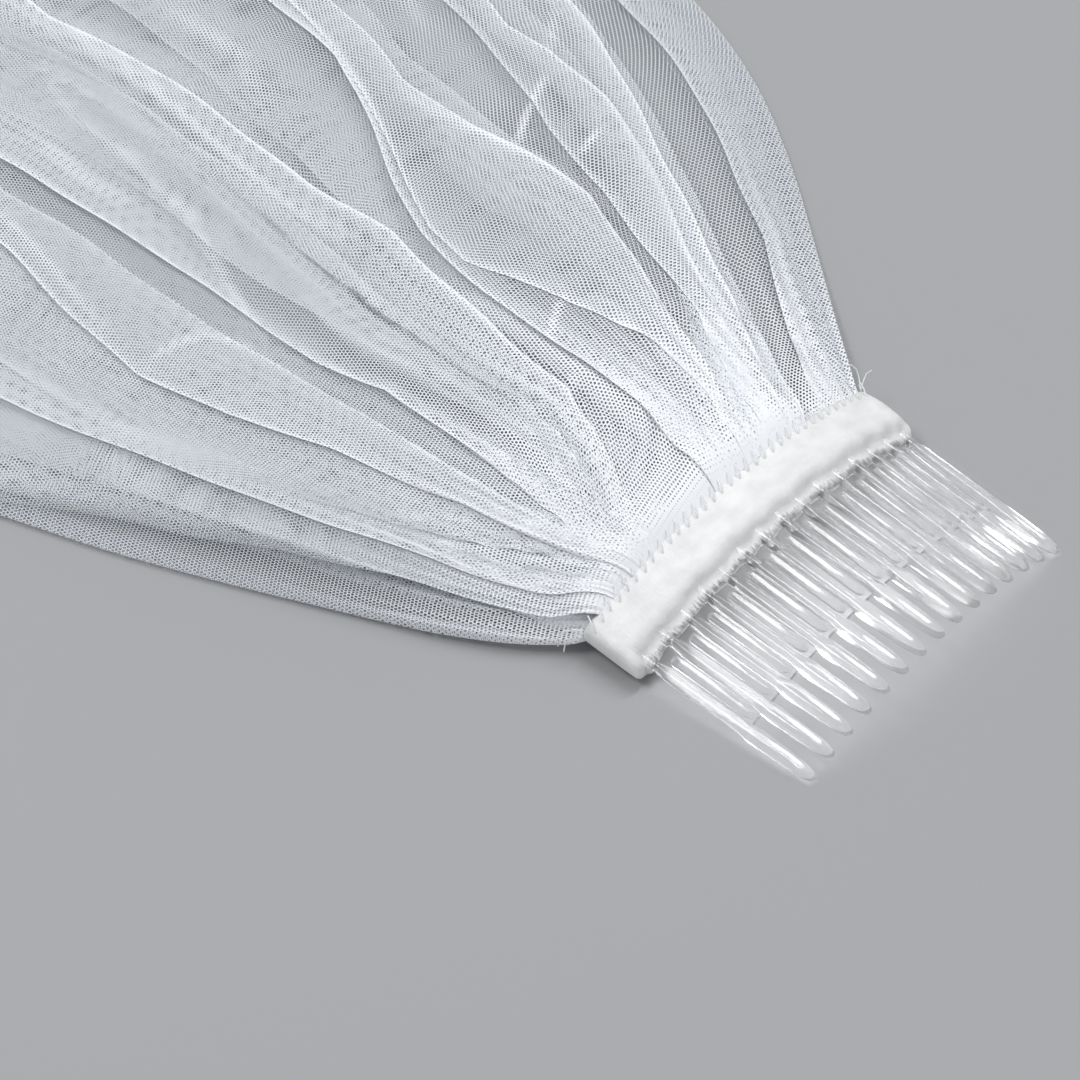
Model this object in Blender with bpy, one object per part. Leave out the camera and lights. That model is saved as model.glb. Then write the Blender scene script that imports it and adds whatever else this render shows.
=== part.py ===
"""A two-tier bridal veil of white tulle, gathered to a clear plastic comb and laid flat.

The comb's teeth point along +X and the cloth fans out along -X.  Y runs across the comb,
Z is up, and everything rests on the plane z = 0.  All sizes are metres.
"""
import math

import bmesh
import bpy
from mathutils import Vector

MM = 0.001

# The comb
TEETH = 15
TOOTH_PITCH = 5.4 * MM
TOOTH_STEP = math.radians(3.2)
ARCH_RADIUS = TOOTH_PITCH / TOOTH_STEP
TOOTH_LENGTH = 40.5 * MM
TIP_NARROWING = 0.03
COMB_SLOPE = 0.08
WEB_END = 25.0 * MM
WEB_BOTTOM = 0.0 * MM
WEB_TOP = 0.9 * MM
SPINE_BACK = 9.2 * MM
SPINE_BOTTOM = -0.4 * MM
SPINE_TOP = 3.0 * MM
SPINE_MARGIN = math.radians(0.5)

# One row for each section of a tooth, from under the ribbon to its tip, in millimetres
TOOTH_SECTIONS = (
    {"at": -1.5, "width": 1.9, "top": 2.5, "bottom": -0.25},
    {"at": 4.5, "width": 1.9, "top": 2.5, "bottom": -0.25},
    {"at": 7.0, "width": 2.6, "top": 2.6, "bottom": -0.25},
    {"at": 24.0, "width": 2.7, "top": 2.5, "bottom": -0.25},
    {"at": 26.0, "width": 3.4, "top": 2.5, "bottom": -0.20},
    {"at": 34.0, "width": 3.1, "top": 2.4, "bottom": -0.15},
    {"at": 38.6, "width": 2.5, "top": 2.2, "bottom": 0.00},
    {"at": 40.5, "width": 1.1, "top": 1.6, "bottom": 0.60},
)

# One row for each section of the raised bar between two teeth, in millimetres
BAR_SECTIONS = (
    {"at": 5.6, "width": 0.9, "top": 1.6, "bottom": 0.45},
    {"at": 6.4, "width": 1.8, "top": 2.1, "bottom": 0.45},
    {"at": 23.2, "width": 1.8, "top": 2.0, "bottom": 0.45},
    {"at": 24.0, "width": 0.9, "top": 1.5, "bottom": 0.45},
)

# The ribbon folded over the spine
SEAM_GAP = 0.3 * MM
RIBBON_WALL = 1.3 * MM
RIBBON_TOP_FLAP = 0.0 * MM
RIBBON_LOWER_FLAP = 2.6 * MM
RIBBON_START = math.radians(-24.6)
RIBBON_END = math.radians(23.2)
RIBBON_STATIONS = 23

# The cloth
GATHER_CENTRE = -0.5 * MM
GATHER_HALF_WIDTH = 39.0 * MM
LOWER_LENGTH = 700.0 * MM
UPPER_LENGTH = 560.0 * MM
UPPER_SHARE = 0.84
SAME_PLACE = 1e-6
GRAIN_DRIFT = 0.30
GRAIN_REACH = 170.0 * MM
CLOTH_WALL = 1.6 * MM
EDGE_HEIGHT = 1.6 * MM
COLUMNS = 100
GATHERS = 24
GATHER_FADE = 46.0 * MM
CORNER_CUT = 0.10
CORNER_SHARE = 0.24
RIPPLES = 17
RIPPLE_HEIGHT = 2.6 * MM
RIPPLE_START = 90.0 * MM
RIPPLE_FULL = 330.0 * MM

# Distances from the comb of the rows of points, in millimetres along the cloth
ROWS = (0, 6, 13, 22, 33, 46, 60, 76, 94, 114, 137, 163, 195, 235, 290, 360, 450, 560, 640, 700)
UPPER_LAST_ROW = ROWS.index(560)

# How the fan opens and how high it lies at each distance.  The left edge is at -Y.
# Angles are between the edge and the -X direction.
FAN = (
    {"at": 0, "left_deg": 66, "right_deg": 65, "puff": 1.0},
    {"at": 6, "left_deg": 46, "right_deg": 44, "puff": 4.0},
    {"at": 16, "left_deg": 32, "right_deg": 40, "puff": 8.0},
    {"at": 32, "left_deg": 24, "right_deg": 41, "puff": 11.5},
    {"at": 60, "left_deg": 24, "right_deg": 40, "puff": 14.0},
    {"at": 85, "left_deg": 22, "right_deg": 35, "puff": 14.0},
    {"at": 105, "left_deg": 18, "right_deg": 27, "puff": 13.0},
    {"at": 125, "left_deg": 20, "right_deg": 20, "puff": 12.0},
    {"at": 150, "left_deg": 20, "right_deg": 15, "puff": 11.0},
    {"at": 200, "left_deg": 18, "right_deg": 16, "puff": 9.0},
    {"at": 265, "left_deg": 13, "right_deg": 20, "puff": 8.0},
    {"at": 340, "left_deg": 19, "right_deg": 14, "puff": 7.0},
    {"at": 420, "left_deg": 15, "right_deg": 19, "puff": 6.0},
    {"at": 500, "left_deg": 18, "right_deg": 14, "puff": 5.0},
    {"at": 590, "left_deg": 12, "right_deg": 17, "puff": 4.0},
    {"at": 700, "left_deg": 15, "right_deg": 11, "puff": 2.5},
)

# Folds of the longer tier.  A row says where a fold starts and ends along the cloth (mm), its
# place among the lines of the cloth (-1 left edge, 1 right edge) at start, middle and end,
# and its height and width (mm)
LOWER_FOLDS = (
    {"start": 10, "end": 240, "a": -0.93, "b": -0.90, "c": -0.86, "height": 3.0, "width": 6.0},
    {"start": 25, "end": 520, "a": -0.78, "b": -0.80, "c": -0.74, "height": 4.5, "width": 8.0},
    {"start": 120, "end": 720, "a": -0.58, "b": -0.62, "c": -0.60, "height": 7.0, "width": 15.0},
    {"start": 60, "end": 720, "a": -0.30, "b": -0.36, "c": -0.38, "height": 8.0, "width": 17.0},
    {"start": 90, "end": 720, "a": -0.06, "b": -0.10, "c": -0.14, "height": 8.5, "width": 16.0},
    {"start": 40, "end": 720, "a": 0.18, "b": 0.14, "c": 0.12, "height": 7.5, "width": 15.0},
    {"start": 110, "end": 720, "a": 0.36, "b": 0.40, "c": 0.37, "height": 8.5, "width": 17.0},
    {"start": 50, "end": 720, "a": 0.60, "b": 0.57, "c": 0.62, "height": 7.0, "width": 15.0},
    {"start": 20, "end": 480, "a": 0.83, "b": 0.80, "c": 0.84, "height": 5.0, "width": 9.0},
    {"start": 150, "end": 720, "a": -0.88, "b": -0.91, "c": -0.86, "height": 5.0, "width": 12.0},
    {"start": 260, "end": 720, "a": 0.90, "b": 0.88, "c": 0.90, "height": 5.0, "width": 12.0},
)

# Folds of the shorter tier, in the same columns
UPPER_FOLDS = (
    {"start": 6, "end": 150, "a": -0.74, "b": -0.58, "c": -0.50, "height": 5.0, "width": 6.0},
    {"start": 90, "end": 310, "a": -0.52, "b": -0.42, "c": -0.38, "height": 6.5, "width": 8.0},
    {"start": 30, "end": 340, "a": -0.27, "b": -0.24, "c": -0.18, "height": 6.0, "width": 5.5},
    {"start": 12, "end": 240, "a": -0.07, "b": 0.05, "c": 0.10, "height": 5.5, "width": 5.0},
    {"start": 26, "end": 420, "a": 0.26, "b": 0.15, "c": 0.12, "height": 7.0, "width": 6.5},
    {"start": 20, "end": 104, "a": 0.52, "b": 0.40, "c": 0.32, "height": 4.0, "width": 6.0},
    {"start": 92, "end": 350, "a": 0.27, "b": 0.40, "c": 0.38, "height": 6.5, "width": 6.5},
    {"start": 72, "end": 270, "a": 0.62, "b": 0.58, "c": 0.60, "height": 5.0, "width": 5.5},
    {"start": 24, "end": 210, "a": 0.62, "b": 0.76, "c": 0.78, "height": 5.5, "width": 6.5},
    {"start": 16, "end": 112, "a": 0.72, "b": 0.77, "c": 0.70, "height": 4.5, "width": 4.2},
    {"start": 230, "end": 600, "a": -0.68, "b": -0.70, "c": -0.72, "height": 8.0, "width": 14.0},
    {"start": 280, "end": 600, "a": -0.46, "b": -0.50, "c": -0.52, "height": 9.0, "width": 15.0},
    {"start": 300, "end": 600, "a": -0.22, "b": -0.24, "c": -0.28, "height": 8.0, "width": 14.0},
    {"start": 380, "end": 600, "a": 0.02, "b": -0.02, "c": -0.04, "height": 9.0, "width": 16.0},
    {"start": 330, "end": 600, "a": 0.26, "b": 0.22, "c": 0.20, "height": 9.0, "width": 15.0},
    {"start": 240, "end": 600, "a": 0.50, "b": 0.46, "c": 0.44, "height": 8.0, "width": 14.0},
    {"start": 190, "end": 600, "a": 0.72, "b": 0.70, "c": 0.66, "height": 8.0, "width": 13.0},
)
FOLD_FADE = 0.22

# Colours, as linear red, green and blue
FINISHES = {
    "comb": {"color": (0.80, 0.83, 0.86), "roughness": 0.08, "alpha": 0.35},
    "ribbon_wrap": {"color": (0.82, 0.82, 0.83), "roughness": 0.5, "alpha": 1.0},
    "tier_lower": {"color": (0.74, 0.77, 0.82), "roughness": 0.8, "alpha": 1.0},
    "tier_upper": {"color": (0.80, 0.83, 0.88), "roughness": 0.8, "alpha": 1.0},
}


def clear_scene():
    for item in list(bpy.data.objects):
        bpy.data.objects.remove(item, do_unlink=True)


def make_collection(name):
    collection = bpy.data.collections.new(name)
    bpy.context.scene.collection.children.link(collection)
    return collection


def add_object(name, mesh, collection):
    item = bpy.data.objects.new(name, mesh)
    collection.objects.link(item)
    return item


def finish_material(item, name):
    finish = FINISHES[name]
    material = bpy.data.materials.new(name)
    material.use_nodes = True
    shader = material.node_tree.nodes["Principled BSDF"]
    shader.inputs["Base Color"].default_value = (*finish["color"], 1.0)
    shader.inputs["Roughness"].default_value = finish["roughness"]
    shader.inputs["Metallic"].default_value = 0.0
    shader.inputs["Alpha"].default_value = finish["alpha"]
    item.data.materials.clear()
    item.data.materials.append(material)


def table_value(table, column, distance):
    """Reads a column of a table at a distance, along straight lines between its rows."""
    last = len(table) - 1
    for index in range(last):
        low, high = table[index], table[index + 1]
        if distance <= high["at"] or index == last - 1:
            span = high["at"] - low["at"]
            share = min(1.0, max(0.0, (distance - low["at"]) / span))
            return low[column] + (high[column] - low[column]) * share
    return table[last][column]


def ease(value):
    value = min(1.0, max(0.0, value))
    return value * value * (3.0 - 2.0 * value)


def arch_point(along, angle, radial):
    """A point of the arched comb: along the teeth, round the arch, and above its underside."""
    narrowing = 1.0 - TIP_NARROWING * max(0.0, along) / TOOTH_LENGTH
    radius = ARCH_RADIUS + radial
    across = radius * math.sin(angle) * narrowing
    height = radius * math.cos(angle) - ARCH_RADIUS * math.cos(TOOTH_STEP * (TEETH - 1) / 2)
    return Vector((along, across, height + COMB_SLOPE * (TOOTH_LENGTH - along)))


def add_loft(work, rings):
    """A closed body through rings with the same number of points, closed at both ends."""
    rows = [[work.verts.new(point) for point in ring] for ring in rings]
    faces = [work.faces.new(rows[0]), work.faces.new(rows[-1])]
    for row, following in zip(rows, rows[1:]):
        for index in range(len(row)):
            after = (index + 1) % len(row)
            faces.append(work.faces.new((row[index], row[after], following[after], following[index])))
    bmesh.ops.recalc_face_normals(work, faces=faces)


def loft(name, bodies, collection):
    """One object that holds a lofted body for each list of rings."""
    mesh = bpy.data.meshes.new(name)
    work = bmesh.new()
    for rings in bodies:
        add_loft(work, rings)
    work.to_mesh(mesh)
    work.free()
    return add_object(name, mesh, collection)


def rounded_ring(along, angle, width, top, bottom):
    """The half-round section of a tooth or bar: nearly flat below, rounded above."""
    half = width / 2
    middle = (top + bottom) / 2
    outline = (
        (-0.72, bottom),
        (0.72, bottom),
        (1.0, bottom + (middle - bottom) * 0.55),
        (0.90, middle + (top - middle) * 0.35),
        (0.42, top),
        (-0.42, top),
        (-0.90, middle + (top - middle) * 0.35),
        (-1.0, bottom + (middle - bottom) * 0.55),
    )
    return [arch_point(along, angle + side * half / ARCH_RADIUS, radial) for side, radial in outline]


def rod_rings(sections, angle):
    rings = []
    for row in sections:
        rings.append(rounded_ring(
            row["at"] * MM, angle, row["width"] * MM, row["top"] * MM, row["bottom"] * MM))
    return rings


def arched_plate(name, start, end, bottom, top, margin, collection):
    """A plate that follows the arch, one flat strip for each half pitch."""
    reach = TOOTH_STEP * (TEETH - 1) / 2 + margin
    strips = 2 * (TEETH - 1)
    angles = [-reach + 2 * reach * step / strips for step in range(strips + 1)]
    rings = []
    for angle in angles:
        rings.append((
            arch_point(start, angle, bottom),
            arch_point(end, angle, bottom),
            arch_point(end, angle, top),
            arch_point(start, angle, top),
        ))
    return loft(name, [rings], collection)


def tooth_angle(index):
    return (index - (TEETH - 1) / 2) * TOOTH_STEP


def build_comb(collection, cutters):
    """The spine, the web, the teeth and the bars between them, joined as one moulding."""
    comb = arched_plate("comb", -SPINE_BACK, 0.0, SPINE_BOTTOM, SPINE_TOP, SPINE_MARGIN, collection)
    teeth = [rod_rings(TOOTH_SECTIONS, tooth_angle(index)) for index in range(TEETH)]
    bars = [rod_rings(BAR_SECTIONS, tooth_angle(index + 0.5)) for index in range(TEETH - 1)]
    joined = (
        arched_plate("web", -1.0 * MM, WEB_END, WEB_BOTTOM, WEB_TOP, 0.0, cutters),
        loft("teeth", teeth, cutters),
        loft("bars", bars, cutters),
    )
    for item in joined:
        union = comb.modifiers.new(item.name, "BOOLEAN")
        union.operation = "UNION"
        union.solver = "EXACT"
        union.object = item
    bpy.context.view_layer.update()
    evaluated = comb.evaluated_get(bpy.context.evaluated_depsgraph_get())
    moulding = bpy.data.meshes.new_from_object(evaluated)
    comb.modifiers.clear()
    comb.data = moulding
    for item in joined:
        bpy.data.objects.remove(item, do_unlink=True)
    comb.data.shade_smooth()
    comb.data.set_sharp_from_angle(angle=math.radians(40))
    finish_material(comb, "comb")
    return comb


def ribbon_ring(angle):
    """The ribbon's folded section: over the spine, round its back and out below the teeth."""
    inside_top = SPINE_TOP + SEAM_GAP
    inside_bottom = SPINE_BOTTOM - SEAM_GAP
    outside_top = inside_top + RIBBON_WALL
    outside_bottom = inside_bottom - RIBBON_WALL
    inside_back = -SPINE_BACK - SEAM_GAP
    outside_back = inside_back - RIBBON_WALL
    corner = 1.2 * MM
    outline = (
        (RIBBON_TOP_FLAP, inside_top),
        (RIBBON_TOP_FLAP, inside_top + 0.6 * RIBBON_WALL),
        (RIBBON_TOP_FLAP - corner, outside_top),
        ((RIBBON_TOP_FLAP + outside_back) / 2, outside_top + 0.4 * MM),
        (outside_back + corner, outside_top - 0.2 * MM),
        (outside_back, outside_top - corner),
        (outside_back, outside_bottom + corner),
        (outside_back + corner, outside_bottom),
        (RIBBON_LOWER_FLAP - corner, outside_bottom),
        (RIBBON_LOWER_FLAP, inside_bottom - 0.6 * RIBBON_WALL),
        (RIBBON_LOWER_FLAP, inside_bottom),
        (inside_back, inside_bottom),
        (inside_back, inside_top),
    )
    return [arch_point(along, angle, radial) for along, radial in outline]


def build_ribbon(collection):
    span = RIBBON_END - RIBBON_START
    rings = []
    for station in range(RIBBON_STATIONS):
        rings.append(ribbon_ring(RIBBON_START + span * station / (RIBBON_STATIONS - 1)))
    ribbon = loft("ribbon_wrap", [rings], collection)
    finish_material(ribbon, "ribbon_wrap")
    return ribbon


def grain_shift(share, distance):
    """How far the cloth's lines lie towards -Y near the comb, as a share of the half width."""
    return GRAIN_DRIFT * (1.0 - share * share) * (1.0 - ease(distance / GRAIN_REACH))


def fan_line(share, stops):
    """Places along one line of the cloth, and the fan's half width there, at each distance."""
    side = "left_deg" if share < 0 else "right_deg"
    step = 2.0 * MM
    back = -SPINE_BACK - 2 * SEAM_GAP - RIBBON_WALL
    start = share - grain_shift(share, 0.0)
    place = Vector((back, GATHER_CENTRE + start * GATHER_HALF_WIDTH))
    edge = GATHER_HALF_WIDTH
    travelled = 0.0
    found = []
    for stop in stops:
        while travelled < stop - SAME_PLACE * MM:
            pace = min(step, stop - travelled)
            edge_angle = math.radians(table_value(FAN, side, (travelled + pace / 2) / MM))
            angle = edge_angle * (share - grain_shift(share, travelled))
            drift = grain_shift(share, travelled) - grain_shift(share, travelled + pace)
            place = place + Vector((-math.cos(angle), math.sin(angle))) * pace
            place.y += drift * edge
            edge += math.sin(edge_angle) * pace
            travelled += pace
        found.append((place.copy(), edge))
    return found


def round_corner(share, edge):
    """How much of the corner cut a hem loses here: a quarter circle up to the edge."""
    part = (abs(share) - (edge - CORNER_SHARE)) / CORNER_SHARE
    part = min(1.0, max(0.0, part))
    return 1.0 - math.sqrt(1.0 - part * part)


def row_distances(share):
    """Distances of the rows along one line of the fan, with both hems' corners cut round."""
    upper_corner = round_corner(share, UPPER_SHARE)
    lower_hem = LOWER_LENGTH * (1.0 - CORNER_CUT * round_corner(share, 1.0))
    upper_hem = UPPER_LENGTH * (1.0 - CORNER_CUT * upper_corner)
    distances = []
    for row, at in enumerate(ROWS):
        if row <= UPPER_LAST_ROW:
            near_hem = (at * MM / UPPER_LENGTH) ** 4
            distances.append(at * MM * (1.0 - CORNER_CUT * upper_corner * near_hem))
        else:
            beyond = (at * MM - UPPER_LENGTH) / (LOWER_LENGTH - UPPER_LENGTH)
            distances.append(upper_hem + (lower_hem - upper_hem) * beyond)
    return distances


def fold_height(folds, share, distance, half_width):
    """The height that the folds in a table add at one place of the cloth."""
    total = 0.0
    for fold in folds:
        length = (fold["end"] - fold["start"]) * MM
        part = (distance - fold["start"] * MM) / length
        if part <= 0.0 or part >= 1.0:
            continue
        bend = 4.0 * part * (1.0 - part)
        middle = fold["b"] - (fold["a"] + fold["c"]) / 2
        centre = fold["a"] + (fold["c"] - fold["a"]) * part + middle * bend
        offset = (share - centre) * half_width / (fold["width"] * MM)
        strength = ease(part / FOLD_FADE) * ease((1.0 - part) / FOLD_FADE)
        if fold["end"] * MM > UPPER_LENGTH:
            strength = ease(part / FOLD_FADE)
        total = max(total, fold["height"] * MM * strength * math.exp(-offset * offset))
    return total


def gather_height(share, distance, height):
    """Small even-sided gathers at the stitching that die away along the cloth."""
    unevenness = 1.1 * math.sin(7.0 * share + 1.0) + 0.7 * math.sin(17.0 * share)
    wave = 0.5 + 0.5 * math.cos(GATHERS * math.pi * share + unevenness)
    return height * wave * math.exp(-distance / GATHER_FADE)


def ripple_height(share, distance, turn):
    """Shallow uneven waves between the large folds, from past the gathers to the hem."""
    phase = RIPPLES * math.pi * share + 1.7 * math.sin(4.3 * share + turn) + turn
    drift = 0.9 * math.sin(distance / (95.0 * MM) + 3.0 * share)
    wave = 0.5 + 0.5 * math.cos(phase + drift)
    return RIPPLE_HEIGHT * wave * ease((distance - RIPPLE_START) / (RIPPLE_FULL - RIPPLE_START))


def arch_height(across):
    """Height of the comb's underside at its back, above the surface."""
    reach = ARCH_RADIUS * math.sin(TOOTH_STEP * (TEETH - 1) / 2)
    across = min(reach * 1.15, abs(across))
    ends = ARCH_RADIUS * math.cos(TOOTH_STEP * (TEETH - 1) / 2)
    return math.sqrt(ARCH_RADIUS ** 2 - across ** 2) - ends + COMB_SLOPE * (TOOTH_LENGTH + SPINE_BACK)


def lower_top(share, distance, across, half_width, rise):
    """Height of the longer tier's upper face."""
    round_off = max(0.0, 1.0 - abs(share) ** 2.4) ** 0.7
    start = max(0.0, arch_height(across) + rise + 0.6 * MM - EDGE_HEIGHT)
    heap = start * math.exp(-(distance / (52.0 * MM)) ** 1.5)
    puff = table_value(FAN, "puff", distance / MM) * MM
    folds = fold_height(LOWER_FOLDS, share, distance, half_width)
    gathers = gather_height(share, distance, 1.4 * MM) + ripple_height(share, distance, 0.0)
    inside = ease((1.0 - abs(share)) / 0.06)
    return EDGE_HEIGHT + heap + puff * round_off + (folds + gathers) * inside


def cloth_points(rise):
    """Rows of points of the longer tier's upper face, with their shares and folds."""
    shares = [-1.0 + 2.0 * column / COLUMNS for column in range(COLUMNS + 1)]
    columns = []
    for share in shares:
        distances = row_distances(share)
        line = []
        for distance, (place, half_width) in zip(distances, fan_line(share, distances)):
            height = lower_top(share, distance, place.y, half_width, rise)
            upper = 0.0
            if abs(share) <= UPPER_SHARE + SAME_PLACE and len(line) <= UPPER_LAST_ROW:
                upper = fold_height(UPPER_FOLDS, share, distance, half_width)
                upper += gather_height(share * 1.07, distance, 1.6 * MM)
                upper += ripple_height(share, distance, 2.0)
            line.append({"place": place, "lower": height, "upper": upper, "share": share})
        columns.append(line)
    return columns


def fold_diagonals(points):
    """For each cell, whether its flatter diagonal starts at the first corner."""
    heights = [[p["lower"] + p["upper"] for p in line] for line in points]
    choices = []
    for line, following in zip(heights, heights[1:]):
        cells = []
        for row in range(len(line) - 1):
            first = abs(line[row] - following[row + 1])
            second = abs(following[row] - line[row + 1])
            cells.append(first <= second)
        choices.append(cells)
    return choices


def sheet_faces(work, columns, diagonals, flipped):
    """Triangles over a grid of vertices, each cell split along its chosen diagonal."""
    for line, following, cells in zip(columns, columns[1:], diagonals):
        for row in range(len(line) - 1):
            a, b, c, d = line[row], following[row], following[row + 1], line[row + 1]
            halves = ((a, b, c), (a, c, d)) if cells[row] else ((a, b, d), (b, c, d))
            for face in halves:
                work.faces.new(reversed(face) if flipped else face)


def rim(columns):
    """The grid's border, as one loop of vertices."""
    first = list(columns[0])
    far = [line[-1] for line in columns[1:-1]]
    last = list(reversed(columns[-1]))
    near = [line[0] for line in reversed(columns[1:-1])]
    return first + far + last + near


def build_lower_tier(points, diagonals, collection):
    """The longer tier: folds above, and one flat face below where the heap rests."""
    work = bmesh.new()
    top = []
    for line in points:
        top.append([work.verts.new((p["place"].x, p["place"].y, p["lower"])) for p in line])
    sheet_faces(work, top, diagonals, False)
    border = rim(top)
    feet = [work.verts.new((vertex.co.x, vertex.co.y, 0.0)) for vertex in border]
    for index in range(len(border)):
        after = (index + 1) % len(border)
        work.faces.new((border[index], border[after], feet[after], feet[index]))
    work.faces.new(feet)
    bmesh.ops.recalc_face_normals(work, faces=work.faces)
    mesh = bpy.data.meshes.new("tier_lower")
    work.to_mesh(mesh)
    work.free()
    tier = add_object("tier_lower", mesh, collection)
    finish_material(tier, "tier_lower")
    return tier


def build_upper_tier(points, diagonals, collection):
    """The shorter tier: a wall that lies on the longer one and stands off it in its folds."""
    work = bmesh.new()
    covered = [abs(line[0]["share"]) <= UPPER_SHARE + SAME_PLACE for line in points]
    first = covered.index(True)
    last = len(covered) - first
    cells = diagonals[first:last]
    below, above = [], []
    for line in points[first:last]:
        kept = line[:UPPER_LAST_ROW + 1]
        heights = [p["lower"] + SEAM_GAP + p["upper"] for p in kept]
        below.append([work.verts.new((p["place"].x, p["place"].y, z)) for p, z in zip(kept, heights)])
        above.append([work.verts.new((p["place"].x, p["place"].y, z + CLOTH_WALL))
                      for p, z in zip(kept, heights)])
    sheet_faces(work, above, cells, False)
    sheet_faces(work, below, cells, True)
    border, feet = rim(above), rim(below)
    for index in range(len(border)):
        after = (index + 1) % len(border)
        work.faces.new((border[index], border[after], feet[after], feet[index]))
    bmesh.ops.recalc_face_normals(work, faces=work.faces)
    mesh = bpy.data.meshes.new("tier_upper")
    work.to_mesh(mesh)
    work.free()
    tier = add_object("tier_upper", mesh, collection)
    finish_material(tier, "tier_upper")
    return tier


def lowest(item):
    return min(vertex.co.z for vertex in item.data.vertices)


def move(items, offset):
    for item in items:
        for vertex in item.data.vertices:
            vertex.co = vertex.co + offset


def centre_on_origin(items):
    """Moves the whole veil so that the middle of its plan lies over the origin."""
    points = [vertex.co for item in items for vertex in item.data.vertices]
    middle_x = (min(p.x for p in points) + max(p.x for p in points)) / 2
    middle_y = (min(p.y for p in points) + max(p.y for p in points)) / 2
    move(items, Vector((-middle_x, -middle_y, 0.0)))


def main():
    clear_scene()
    collection = make_collection("bridal_veil")
    cutters = make_collection("cutters")
    comb = build_comb(collection, cutters)
    ribbon = build_ribbon(collection)
    rise = -min(lowest(comb), lowest(ribbon))
    move([comb, ribbon], Vector((0.0, 0.0, rise)))
    points = cloth_points(rise)
    diagonals = fold_diagonals(points)
    lower = build_lower_tier(points, diagonals, collection)
    upper = build_upper_tier(points, diagonals, collection)
    centre_on_origin([comb, ribbon, lower, upper])


main()
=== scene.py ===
"""The looks of a two-tier tulle veil on a clear plastic comb, laid flat on a pale floor.

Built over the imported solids.  x runs along the comb's teeth, y across the comb, z up, in metres.
"""
import math

import bpy
import numpy as np
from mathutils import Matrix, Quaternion, Vector

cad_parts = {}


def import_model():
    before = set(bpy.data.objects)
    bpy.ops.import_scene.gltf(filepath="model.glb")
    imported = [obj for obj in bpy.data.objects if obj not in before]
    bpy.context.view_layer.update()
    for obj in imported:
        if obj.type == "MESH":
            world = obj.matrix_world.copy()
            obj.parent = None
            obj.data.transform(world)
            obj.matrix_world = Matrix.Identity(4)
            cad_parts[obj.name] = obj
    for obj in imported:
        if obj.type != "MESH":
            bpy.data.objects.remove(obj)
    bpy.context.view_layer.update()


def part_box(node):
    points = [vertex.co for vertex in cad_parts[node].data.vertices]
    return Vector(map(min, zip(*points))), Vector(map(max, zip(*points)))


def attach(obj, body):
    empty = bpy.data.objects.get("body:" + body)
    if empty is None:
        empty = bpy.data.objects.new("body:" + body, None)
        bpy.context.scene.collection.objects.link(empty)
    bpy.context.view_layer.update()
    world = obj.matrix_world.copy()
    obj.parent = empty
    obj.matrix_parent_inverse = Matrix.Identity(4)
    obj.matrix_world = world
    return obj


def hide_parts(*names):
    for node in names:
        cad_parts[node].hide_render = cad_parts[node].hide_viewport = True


MM = 0.001


def name_columns(names, rows):
    """A table: a dictionary for each row, from the names of its columns."""
    return [dict(zip(names.split(), row)) for row in rows]


# The comb, as the solids have it
TEETH = 15
TOOTH_PITCH = 5.4 * MM
TOOTH_STEP = math.radians(3.2)
ARCH_RADIUS = TOOTH_PITCH / TOOTH_STEP
TOOTH_LENGTH = 40.5 * MM
TIP_NARROWING = 0.03
COMB_SLOPE = 0.08
WEB_START = -1.0 * MM
WEB_END = 25.0 * MM
WEB_TOP = 0.9 * MM
SPINE_BACK = 9.2 * MM
SPINE_BOTTOM = -0.4 * MM
SPINE_TOP = 3.0 * MM
SPINE_MARGIN = math.radians(0.2)
ROD_SIDES = 20

# Sections of a tooth from under the ribbon to its round tip, in millimetres
TOOTH_SECTIONS = name_columns("at width top bottom", (
    (-1.5, 1.9, 2.5, -0.25),
    (4.3, 1.9, 2.5, -0.25),
    (5.4, 2.2, 2.6, -0.25),
    (7.0, 2.6, 2.6, -0.25),
    (23.6, 2.7, 2.5, -0.25),
    (25.0, 3.0, 2.45, -0.22),
    (26.6, 3.4, 2.5, -0.20),
    (31.0, 3.3, 2.45, -0.18),
    (35.0, 3.1, 2.4, -0.12),
    (37.6, 2.8, 2.25, -0.02),
    (39.0, 2.3, 2.05, 0.12),
    (39.9, 1.7, 1.8, 0.38),
    (40.35, 1.0, 1.5, 0.68),
    (40.5, 0.4, 1.2, 0.92),
))

# Sections of the raised bar between two teeth, in millimetres
BAR_SECTIONS = name_columns("at width top bottom", (
    (5.5, 0.5, 1.2, 0.5),
    (5.8, 1.5, 1.8, 0.45),
    (6.6, 2.1, 2.3, 0.45),
    (22.9, 2.1, 1.6, 0.45),
    (23.7, 1.3, 1.4, 0.45),
    (24.0, 0.5, 1.1, 0.5),
))

# The ribbon; the points of its front edge are along the comb and above its underside
SEAM_GAP = 0.3 * MM
RIBBON_WALL = 1.3 * MM
RIBBON_SHELL = 0.45 * MM
RIBBON_LOWER_FLAP = 2.6 * MM
RIBBON_BACK_SHARE = 0.86
RIBBON_CROWN = 0.35 * MM
PUCKER = 0.10 * MM
FRONT_WAVE = 0.25 * MM
RIBBON_START = math.radians(-24.6)
RIBBON_END = math.radians(23.8)
RIBBON_STATIONS = 130
RIBBON_CLOSING = 3.5
RIBBON_FLAT = (0.081, 0.036)
LAST_TOOTH_EDGE = math.radians(22.9)
RIBBON_TURN_IN = math.radians(0.45)
RIBBON_FRAY = ((4.8 * MM, 1.05 * MM), (3.5 * MM, 1.1 * MM), (2.3 * MM, 1.25 * MM),
               (1.4 * MM, 1.7 * MM), (0.9 * MM, 2.4 * MM))
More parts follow.
